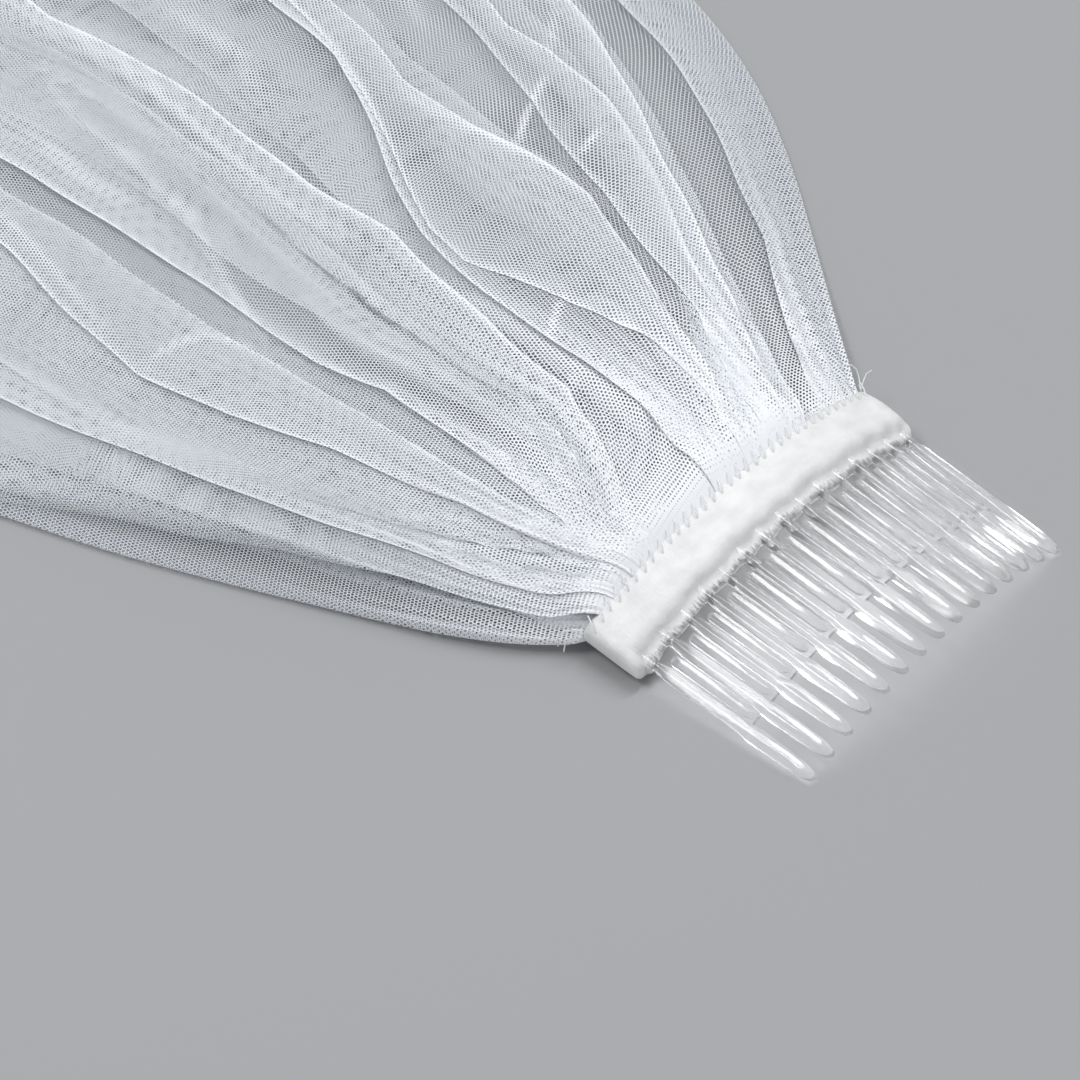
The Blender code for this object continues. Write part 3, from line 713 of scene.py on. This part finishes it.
def mould_comb(origin, material):
    """The clear comb: spine, thin web, round-tipped teeth and the bars between them."""
    tooth_places = [(index - (TEETH - 1) / 2) * TOOTH_PITCH for index in range(TEETH)]
    bar_places = [place + TOOTH_PITCH / 2 for place in tooth_places[:-1]]
    comb = arched_plate(
        "comb_moulding", -SPINE_BACK, 0.0, SPINE_BOTTOM, SPINE_TOP, SPINE_MARGIN, origin)
    web = arched_plate("comb_web", WEB_START, WEB_END, 0.0, WEB_TOP, 0.0, origin)
    teeth = copy_across(shape_rod("comb_tooth", TOOTH_SECTIONS, 0.8), tooth_places)
    bars = copy_across(shape_rod("comb_bar", BAR_SECTIONS, 0.38), bar_places)
    for rods in (teeth, bars):
        bend_round_arch(rods, origin)
    for item in (web, teeth, bars):
        select_only(comb)
        union = comb.modifiers.new("join", "BOOLEAN")
        union.operation = "UNION"
        union.solver = "EXACT"
        union.object = item
        bpy.ops.object.modifier_apply(modifier=union.name)
        bpy.data.objects.remove(item, do_unlink=True)
    select_only(comb)
    bpy.ops.object.shade_smooth_by_angle(angle=math.radians(32))
    finish_piece(comb, material, "clear_plastic", "comb")


def grid_faces(rows, columns):
    """Four-sided faces over a grid of points that is stored row by row."""
    faces = []
    for row in range(rows - 1):
        for column in range(columns - 1):
            first = row * columns + column
            faces.append((first, first + 1, first + columns + 1, first + columns))
    return faces


def ribbon_path():
    """The ribbon's folded line in section: over the spine, round its back and out below."""
    top = SPINE_TOP + SEAM_GAP + RIBBON_WALL - RIBBON_SHELL
    bottom = SPINE_BOTTOM - SEAM_GAP - RIBBON_WALL + RIBBON_SHELL
    back = -SPINE_BACK - SEAM_GAP - RIBBON_WALL + RIBBON_SHELL
    points = list(RIBBON_FRAY)
    points += [(0.5 * MM, SPINE_TOP + 0.2 * MM), (-0.1 * MM, SPINE_TOP + 0.95 * MM)]
    steps = 9
    for step in range(1, steps):
        share = step / steps
        crown = RIBBON_CROWN * math.sin(math.pi * share)
        points.append((back * RIBBON_BACK_SHARE * share, top + crown))
    turn = 7
    for step in range(turn + 1):
        angle = math.pi / 2 + math.pi * step / turn
        half = (top - bottom) / 2
        points.append((
            back * RIBBON_BACK_SHARE + abs(back) * (1.0 - RIBBON_BACK_SHARE) * math.cos(angle),
            bottom + half + half * math.sin(angle)))
    flap = 7
    for step in range(1, flap + 1):
        share = step / flap
        along = back * RIBBON_BACK_SHARE * (1.0 - share) + RIBBON_LOWER_FLAP * share
        points.append((along, bottom))
    return points


def ribbon_angle(station):
    return RIBBON_START + (RIBBON_END - RIBBON_START) * station / RIBBON_STATIONS


def past_last_tooth(angle):
    """0 among the teeth and 1 beyond the end teeth, where the ribbon's front is turned in."""
    return min(1.0, max(0.0, (abs(angle) - LAST_TOOTH_EDGE) / RIBBON_TURN_IN))


def ribbon_row(station, path, origin):
    """The ribbon's folded line at a station along it: puckered at its back, closed at its ends."""
    middle = (SPINE_TOP + SPINE_BOTTOM) / 2
    angle = ribbon_angle(station)
    past = past_last_tooth(angle)
    inset = min(station, RIBBON_STATIONS - station)
    shut = max(0.0, 1.0 - inset / RIBBON_CLOSING)
    close = max(0.04, math.sqrt(1.0 - shut * shut))
    row = []
    for index, (along, radial) in enumerate(path):
        if index < len(RIBBON_LIP):
            shut_along, shut_radial = RIBBON_LIP[index]
            along = along * (1.0 - past) + shut_along * past
            radial = radial * (1.0 - past) + shut_radial * past
        behind = max(0.0, min(1.0, -along / (SPINE_BACK + RIBBON_WALL)))
        pucker = math.sin(1.3 * station + 1.9 * math.sin(0.29 * station)) * PUCKER * behind ** 3
        soft = PUCKER * math.sin(0.23 * station + 0.9 * index) * behind
        front = FRONT_WAVE * math.sin(0.47 * station + 1.9 * math.sin(0.11 * station))
        front = front * (1.0 - behind) ** 4
        height = middle + (radial - middle) * close
        row.append(arch_point(along - pucker - front, angle, height + pucker + soft) + origin)
    return row


def fold_ribbon(origin, material):
    """The satin strip folded over the spine; "whole" marks where its front edge isn't frayed."""
    path = ribbon_path()
    count = len(path)
    rows = [ribbon_row(station, path, origin) for station in range(RIBBON_STATIONS + 1)]
    mesh = bpy.data.meshes.new("ribbon_fold")
    mesh.from_pydata([tuple(point) for row in rows for point in row], [],
                     grid_faces(len(rows), count))
    layer = mesh.uv_layers.new(name="cloth")
    for loop in mesh.loops:
        station, index = divmod(loop.vertex_index, count)
        layer.data[loop.index].uv = (station / RIBBON_STATIONS * RIBBON_FLAT[0],
                                     index / (count - 1) * RIBBON_FLAT[1])
    whole = mesh.attributes.new("whole", "FLOAT", "POINT")
    for vertex in range(len(rows) * count):
        station, index = divmod(vertex, count)
        past = past_last_tooth(ribbon_angle(station))
        whole.data[vertex].value = max(past, min(1.0, index / (len(RIBBON_FRAY) + 1)))
    ribbon = add_object("ribbon_fold", mesh)
    select_only(ribbon)
    wall = ribbon.modifiers.new("wall", "SOLIDIFY")
    wall.thickness = RIBBON_SHELL
    wall.offset = 0.0
    bpy.ops.object.modifier_apply(modifier=wall.name)
    bpy.ops.object.mode_set(mode="EDIT")
    bpy.ops.mesh.select_all(action="SELECT")
    bpy.ops.mesh.normals_make_consistent(inside=False)
    bpy.ops.object.mode_set(mode="OBJECT")
    bpy.ops.object.shade_smooth_by_angle(angle=math.radians(50))
    finish_piece(ribbon, material, "satin_ribbon", "ribbon_wrap")


def sew(origin, material):
    """Whip stitches along the ribbon's back edge, and the loose ends of the gathering thread."""
    data = bpy.data.curves.new("sewing_thread", "CURVE")
    data.dimensions = "3D"
    data.bevel_depth = THREAD_THICKNESS / 2
    data.bevel_resolution = 1
    data.use_fill_caps = True
    paths = [[(along, math.radians(angle), radial) for along, angle, radial in loose]
             for loose in THREAD_ENDS]
    ribbon_top = (SPINE_TOP + SEAM_GAP + RIBBON_WALL) / MM
    for stitch in range(STITCHES):
        share = (stitch + 0.5) / STITCHES
        lean = STITCH_LEAN * math.sin(2.4 * stitch)
        angle = STITCH_START + STITCH_SPAN * share
        step = STITCH_SLANT / ARCH_RADIUS
        paths.append([(along + lean, angle + slant * step, ribbon_top + above)
                      for along, slant, above in STITCH_POINTS])
    for path in paths:
        spline = data.splines.new("POLY")
        spline.points.add(len(path) - 1)
        for point, (along, angle, radial) in zip(spline.points, path):
            point.co = (*(arch_point(along * MM, angle, radial * MM) + origin), 1.0)
    thread = add_object("sewing_thread", data)
    select_only(thread)
    bpy.ops.object.convert(target="MESH")
    bpy.ops.object.shade_smooth_by_angle(angle=math.radians(60))
    finish_piece(thread, material, "satin_ribbon")


def ease(value):
    """A smooth step from 0 to 1."""
    value = np.clip(value, 0.0, 1.0)
    return value * value * (3.0 - 2.0 * value)


def grain_shift(share, distance):
    """How far the cloth's lines lie towards -Y near the comb, as a share of the half width."""
    return GRAIN_DRIFT * (1.0 - share * share) * (1.0 - ease(distance / GRAIN_REACH))


def spread_fan(stops):
    """Plan places of the fan's lines, and its half width, at each distance from the comb."""
    share = np.linspace(-1.0, 1.0, FAN_SHARES)
    at = [row["at"] * MM for row in FAN]
    left = [math.radians(row["left_deg"]) for row in FAN]
    right = [math.radians(row["right_deg"]) for row in FAN]
    back = -SPINE_BACK - 2 * SEAM_GAP - RIBBON_WALL
    x = np.full(FAN_SHARES, back)
    y = GATHER_CENTRE + (share - grain_shift(share, 0.0)) * GATHER_HALF_WIDTH
    edge = np.full(FAN_SHARES, GATHER_HALF_WIDTH)
    travelled = 0.0
    places = []
    for stop in stops:
        while travelled < stop - 1e-9:
            pace = min(FAN_PACE, stop - travelled)
            middle = travelled + pace / 2
            angles = np.where(share < 0, np.interp(middle, at, left), np.interp(middle, at, right))
            lie = angles * (share - grain_shift(share, travelled))
            drift = grain_shift(share, travelled) - grain_shift(share, travelled + pace)
            x = x - np.cos(lie) * pace
            y = y + np.sin(lie) * pace + drift * edge
            edge = edge + np.sin(angles) * pace
            travelled += pace
        places.append((x.copy(), y.copy(), edge.copy()))
    return share, places


def row_stops(length):
    """Distances of the sheet's rows from the comb."""
    stops = [0.0]
    while stops[-1] < length - 1e-9:
        pace = next(pace for reach, pace in ROW_PACES if stops[-1] < reach)
        stops.append(min(length, stops[-1] + pace))
    return stops


def read_path(path, distance):
    """Reads a path of points, each a distance in millimetres and a value."""
    return float(np.interp(distance / MM, [point[0] for point in path], [point[1] for point in path]))


def arch_height(across):
    """Height of the comb's underside at its back, above the surface."""
    reach = ARCH_RADIUS * math.sin(TOOTH_STEP * (TEETH - 1) / 2)
    across = np.minimum(reach * 1.15, np.abs(across))
    ends = ARCH_RADIUS * math.cos(TOOTH_STEP * (TEETH - 1) / 2)
    rise = COMB_SLOPE * (TOOTH_LENGTH + SPINE_BACK)
    return np.sqrt(ARCH_RADIUS ** 2 - across ** 2) - ends + rise


def round_side(share):
    """How much of the cloth's fullness is left here, 0 at the fan's two edges."""
    return np.maximum(0.0, 1.0 - np.abs(share) ** 2.4) ** 0.7


def heap_height(share, distance, across, rise):
    """Height of the longer tier's top, without its folds."""
    start = np.maximum(0.0, arch_height(across) + rise + SEWN_CLEARANCE - EDGE_HEIGHT)
    heap = start * math.exp(-(distance / HEAP_REACH) ** 1.5)
    puff = at_distance(FAN, "puff", distance / MM) * MM
    return EDGE_HEIGHT + heap + puff * round_side(share)


def run_levels(folds, hidden_edges):
    """The height in the stack at which each run of the sheet starts and ends, from 0 to 1.

    The turned cloth of a fold lies in three runs just below its crest."""
    levels = []
    start = 0.30
    if hidden_edges:
        levels.append((0.05, 0.20))
        start = 0.55
    for fold in folds:
        high = fold["height"]
        if fold["over"] == "left":
            levels.append((start, high))
            levels.append((0.90 * high, 0.83 * high))
            start = 0.74 * high
        else:
            levels.append((start, 0.74 * high))
            levels.append((0.83 * high, 0.90 * high))
            start = high
    levels.append((start, 0.50))
    if hidden_edges:
        levels.append((0.20, 0.05))
    return levels


def turning_shares(folds, edges, hidden_edges, distance, half_width):
    """Where the sheet starts, turns back and forward, and ends, at one distance."""
    turns = [read_path(edges["left"], distance)]
    if hidden_edges:
        turns.append(-1.0)
    for number, fold in enumerate(folds):
        wobble = sum(size * math.sin(distance / length + shift * number)
                     for size, length, shift in CREST_WAVES)
        crest = read_path(fold["share"], distance) + wobble * ease(distance / (40.0 * MM))
        gathered = COMB_BAND * math.exp(-(distance / COMB_BAND_REACH) ** 2)
        loose = 1.0 + 0.15 * math.sin(distance / (26.0 * MM) + 1.7 * number)
        band = max(read_path(fold["band"], distance) * loose * MM, gathered) / half_width
        if fold["over"] == "left":
            turns.extend((crest, crest - band))
        else:
            turns.extend((crest + band, crest))
    if hidden_edges:
        turns.append(1.0)
    turns.append(read_path(edges["right"], distance))
    return turns


def ridge_mark(share, distance, half_width):
    """How strongly the ridges show at each place of a row; each fades out at both its ends."""
    mark = np.zeros(len(share))
    here = np.stack((np.full(len(share), distance), share * half_width), axis=1)
    for ridge in RIDGES:
        points = [np.array((at * MM, place * half_width)) for at, place in ridge["path"]]
        legs = len(points) - 1
        nearest = np.full(len(share), 1.0)
        part = np.zeros(len(share))
        for leg in range(legs):
            along = points[leg + 1] - points[leg]
            offset = here - points[leg]
            step = np.clip(offset @ along / (along @ along), 0.0, 1.0)
            away = np.linalg.norm(offset - step[:, None] * along, axis=1)
            part = np.where(away < nearest, (leg + step) / legs, part)
            nearest = np.minimum(nearest, away)
        taper = np.sqrt(np.clip(4.0 * part * (1.0 - part), 0.0, 1.0))
        shown = ridge["strength"] * taper * np.exp(-(nearest / (ridge["width"] * MM)) ** 2)
        mark = np.maximum(mark, shown)
    return mark


def runs_forward(number, hidden_edges):
    """Whether a run of the sheet goes forward, from left to right across the fan."""
    return (number % 2 == 0) != hidden_edges


def run_columns(number, hidden_edges):
    return FORWARD_COLUMNS if runs_forward(number, hidden_edges) else BACK_COLUMNS


def crease_mark(number, width, eased, folds, hidden_edges):
    """Thread packed along a run's folded edges, which also paints a highlight into the net's colour
    there, and thinned where turned cloth ends below.
    """
    mark = np.zeros(len(eased))
    for side, turn in ((0, number), (1, number + 1)):
        order = turn - (2 if hidden_edges else 1)
        if not 0 <= order < 2 * len(folds):
            continue
        fold = folds[order // 2]
        offset = np.abs(width * (eased - side))
        if (order % 2 == 0) == (fold["over"] == "left"):
            core = 0.7 * np.exp(-(offset / CREST_CORE) ** 2)
            fade = 0.3 * np.exp(-offset / CREST_FADE)
            mark = mark + fold["line"] * (core + fade)
        else:
            soft = min(RETURN_FADE, 0.35 * width + 0.1 * MM)
            mark = mark - RETURN_THINNING * np.exp(-(offset / soft) ** 2)
    return mark


def lay_run(number, turns, levels, folds, hidden_edges, half_width):
    """One run of a row, column by column: its share, its level in the stack, its crease mark, and
    the place on the cloth and the slant of its net."""
    last = number == len(levels) - 1
    count = run_columns(number, hidden_edges)
    steps = np.arange(count + 1 if last else count) / count
    eased = 0.5 - 0.5 * np.cos(math.pi * steps)
    start, end = turns[number], turns[number + 1]
    share = start + (end - start) * eased
    low, high = levels[number]
    before = levels[number - 1][1] if number else low
    after = high if last else levels[number + 1][0]
    level = low + (high - low) * ease(steps)
    level = level + ((before + low) / 2 - low) * (1.0 - ease(steps / 0.3))
    level = level + ((after + high) / 2 - high) * ease((steps - 0.7) / 0.3)
    crease = crease_mark(number, abs(end - start) * half_width, eased, folds, hidden_edges)
    across = (share - (start + end) / 2) * half_width
    slant = NET_SLANT if runs_forward(number, hidden_edges) else -NET_SLANT
    return share, level, crease, across, np.full(len(steps), slant)


def sheet_object(name, places, faces, uvs, closeness_and_painted_highlight):
    """A smooth mesh with its cloth coordinates and how closely its thread is packed, which also sets
    its painted highlight.
    """
    mesh = bpy.data.meshes.new(name)
    mesh.from_pydata(places.tolist(), [], faces)
    mesh.polygons.foreach_set("use_smooth", [True] * len(mesh.polygons))
    layer = mesh.uv_layers.new(name="cloth")
    corner_points = np.empty(len(mesh.loops), dtype=np.int32)
    mesh.loops.foreach_get("vertex_index", corner_points)
    layer.data.foreach_set("uv", uvs[corner_points].ravel())
    mesh.attributes.new("closeness_and_painted_highlight", "FLOAT", "POINT").data.foreach_set("value", closeness_and_painted_highlight)
    return add_object(name, mesh)


def lay_tier(name, cut, folds, edges, hidden_edges, bottom_of, top_of, hem_of, origin, seed):
    """A sheet of net that runs forward and back across the fan, folded over at each crease."""
    levels = run_levels(folds, hidden_edges)
    stops = row_stops(cut[1])
    fan_share, fan_places = spread_fan(stops)
    runs = range(len(levels))
    columns = sum(run_columns(number, hidden_edges) for number in runs) + 1
    sheet_place = np.linspace(0.0, 1.0, columns)
    places, uvs, closeness_and_painted_highlight = [], [], []
    for stop, (fan_x, fan_y, fan_edge) in zip(stops, fan_places):
        half_width = float(np.interp(0.0, fan_share, fan_edge))
        turns = turning_shares(folds, edges, hidden_edges, stop, half_width)
        row = [lay_run(number, turns, levels, folds, hidden_edges, half_width) for number in runs]
        share, level, crease, across, slant = (np.concatenate(part) for part in zip(*row))
        share = np.clip(share, -1.0, 1.0)
        along = stop * (1.0 - (1.0 - hem_of(share)) * (stop / cut[1]) ** 4)
        lie = math.radians(FAN[-1]["left_deg"]) * share
        x = np.interp(share, fan_share, fan_x)
        x = x + (stop - along) * np.cos(lie) + TUCK * math.exp(-stop / TUCK_REACH)
        y = np.interp(share, fan_share, fan_y)
        y = y - (stop - along) * np.sin(lie)

        # gathers next to the ribbon, broad ones behind them, and slow ripples further out
        gather = 0.5 + 0.5 * np.cos(2 * math.pi * GATHERS_PER_TIER * sheet_place
                                    + 2.2 * np.sin(23.0 * sheet_place + seed))
        fine = math.exp(-stop / GATHER_REACH)
        coarse = math.exp(-((stop - COARSE_GATHER_PLACE) / GATHER_REACH) ** 2)
        broad = 0.5 + 0.5 * np.cos(44.0 * math.pi * share + 3.0 * np.sin(5.0 * share + seed)
                                   + stop / (40.0 * MM))
        loose = ease(stop / (70.0 * MM))
        ripple = np.sin(21.0 * share + 2.0 * math.sin(stop / (60.0 * MM)) + 2.0)
        ripple = ripple + 0.6 * np.sin(37.0 * share - stop / (33.0 * MM) + 4.0)
        inside = ease((1.0 - np.abs(share)) / 0.08)
        low_face = bottom_of(share, stop, y)
        high_face = top_of(share, stop, y)
        z = low_face + (high_face - low_face) * level
        z = z + FINE_GATHER * fine * gather * ease((stop + 0.2 * MM) / (2.5 * MM))
        z = z + COARSE_GATHER * coarse * broad
        z = np.maximum(z + RIPPLE * loose * ripple * inside, LOWEST_CLOTH)
        ridge = np.zeros(columns) if hidden_edges else ridge_mark(share, stop, half_width)
        z = z + RIDGE_HEIGHT * ridge
        places.append(np.stack((x + origin.x, y + origin.y, z), axis=1))

        squash = 1.0 + NET_SQUASH * math.exp(-stop / GATHER_REACH)
        turned = across * squash + slant * along
        uvs.append(np.stack((turned + 0.31 * seed, along - slant * across), axis=1))
        # How closely the thread is packed, from folds, ridges, gathers and the seam; the net's colour
        # goes to a painted highlight with it
        dense = DENSE_AT_COMB * math.exp(-(stop / DENSE_REACH) ** 2)
        shown = np.clip(crease + ridge + 0.85 * fine + 0.25 * coarse * broad, -0.5, 1.0)
        closeness_and_painted_highlight.append(shown + dense)
    faces = grid_faces(len(stops), columns)
    return sheet_object(name, np.concatenate(places), faces, np.concatenate(uvs),
                        np.concatenate(closeness_and_painted_highlight))


def round_corner(share, edge):
    """How much of the corner cut a hem loses here: a quarter circle up to the edge."""
    part = np.clip((np.abs(share) - (edge - CORNER_SHARE)) / CORNER_SHARE, 0.0, 1.0)
    return 1.0 - np.sqrt(1.0 - part * part)


def lay_cloth(origin, net_group):
    """Both tiers of tulle, the longer one on the floor and the shorter one over it."""

    def lower_top(share, distance, across):
        return heap_height(share, distance, across, origin.z)

    def lower_bottom(share, distance, across):
        top = lower_top(share, distance, across)
        return top * (1.0 - OPENING_SHARE * ease(distance / OPENING_REACH))

    def upper_bottom(share, distance, across):
        swell = SWELL * math.sin(math.pi * min(1.0, distance / SWELL_REACH))
        raised = (SEAM_RISE + swell) * math.exp(-distance / SEAM_RISE_REACH)
        tucked = SEAM_TUCK * round_side(share) * math.exp(-distance / SEAM_TUCK_REACH)
        return lower_top(share, distance, across) + TIER_GAP + raised - tucked

    def upper_top(share, distance, across):
        inside = ease((1.0 - np.abs(share)) / 0.15)
        rise = STACK_AT_COMB + STACK_HEIGHT * ease((distance + 3.0 * MM) / STACK_REACH)
        return upper_bottom(share, distance, across) + rise * inside

    def lower_hem(share):
        return 1.0 - CORNER_CUT * round_corner(share, 1.0)

    def upper_hem(share):
        return 1.0 - CORNER_CUT * round_corner(share, UPPER_CORNER_EDGE)

    lower = lay_tier("lower_tier_net", LOWER_CUT, LOWER_FOLDS, LOWER_EDGES, True,
                     lower_bottom, lower_top, lower_hem, origin, 1.0)
    upper = lay_tier("upper_tier_net", UPPER_CUT, UPPER_FOLDS, UPPER_EDGES, False,
                     upper_bottom, upper_top, upper_hem, origin, 2.0)
    finish_piece(lower, tulle_material("tulle_lower", LOWER_COLOUR, net_group),
                 "tulle_lower", "tier_lower")
    finish_piece(upper, tulle_material("tulle_upper", UPPER_COLOUR, net_group),
                 "tulle_upper", "tier_upper")


def place_camera(origin):
    camera = add_object("camera", bpy.data.cameras.new("camera"))
    target = Vector((origin.x + CAMERA_TARGET[0], origin.y + CAMERA_TARGET[1], origin.z))
    back = direction(CAMERA_TURN, CAMERA_RISE)
    camera.location = target + back * CAMERA_DISTANCE
    camera.rotation_euler = back.to_track_quat("Z", "Y").to_euler()
    camera.data.angle = CAMERA_FIELD
    camera.data.clip_start = 0.01
    bpy.context.scene.camera = camera
    return target


def direction(turn, rise):
    """The unit vector at a turn round the z axis and a rise above the floor."""
    return Vector((math.cos(rise) * math.cos(turn), math.cos(rise) * math.sin(turn), math.sin(rise)))


def place_softbox(softbox, target):
    """A rectangular light that faces the target and is rolled on its own axis."""
    back = direction(math.radians(softbox["turn_deg"]), math.radians(softbox["rise_deg"]))
    data = bpy.data.lights.new(softbox["name"], "AREA")
    data.shape = "RECTANGLE"
    data.size, data.size_y = softbox["size"]
    data.energy = softbox["power"]
    light = add_object(softbox["name"], data)
    light.location = target + back * softbox["distance"]
    roll = Quaternion((0.0, 0.0, 1.0), math.radians(softbox["roll_deg"]))
    light.rotation_euler = (back.to_track_quat("Z", "Y") @ roll).to_euler()


def light_studio(target):
    for softbox in SOFTBOXES:
        place_softbox(softbox, target)
    world = bpy.data.worlds.new("studio")
    world.use_nodes = True
    background = world.node_tree.nodes["Background"]
    background.inputs["Color"].default_value = (0.95, 0.97, 1.0, 1.0)
    background.inputs["Strength"].default_value = WORLD_STRENGTH
    bpy.context.scene.world = world


def lay_floor():
    bpy.ops.mesh.primitive_plane_add(size=30.0, location=(0.0, 0.0, -0.0002))
    floor = bpy.context.object
    floor.name = "floor"
    bpy.ops.object.transform_apply(location=True)
    floor.data.materials.append(floor_material())


def main():
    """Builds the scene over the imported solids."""
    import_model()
    deselect_all()
    origin = comb_origin()
    target = place_camera(origin)
    light_studio(target)
    lay_floor()
    mould_comb(origin, clear_plastic_material())
    fold_ribbon(origin, satin_material())
    sew(origin, thread_material())
    lay_cloth(origin, make_net_group())
    bpy.context.scene.cycles.transparent_max_bounces = 28
    bpy.context.scene.cycles.diffuse_bounces = 2
    bpy.context.scene.cycles.glossy_bounces = 8
    bpy.context.scene.view_settings.view_transform = "Standard"


main()
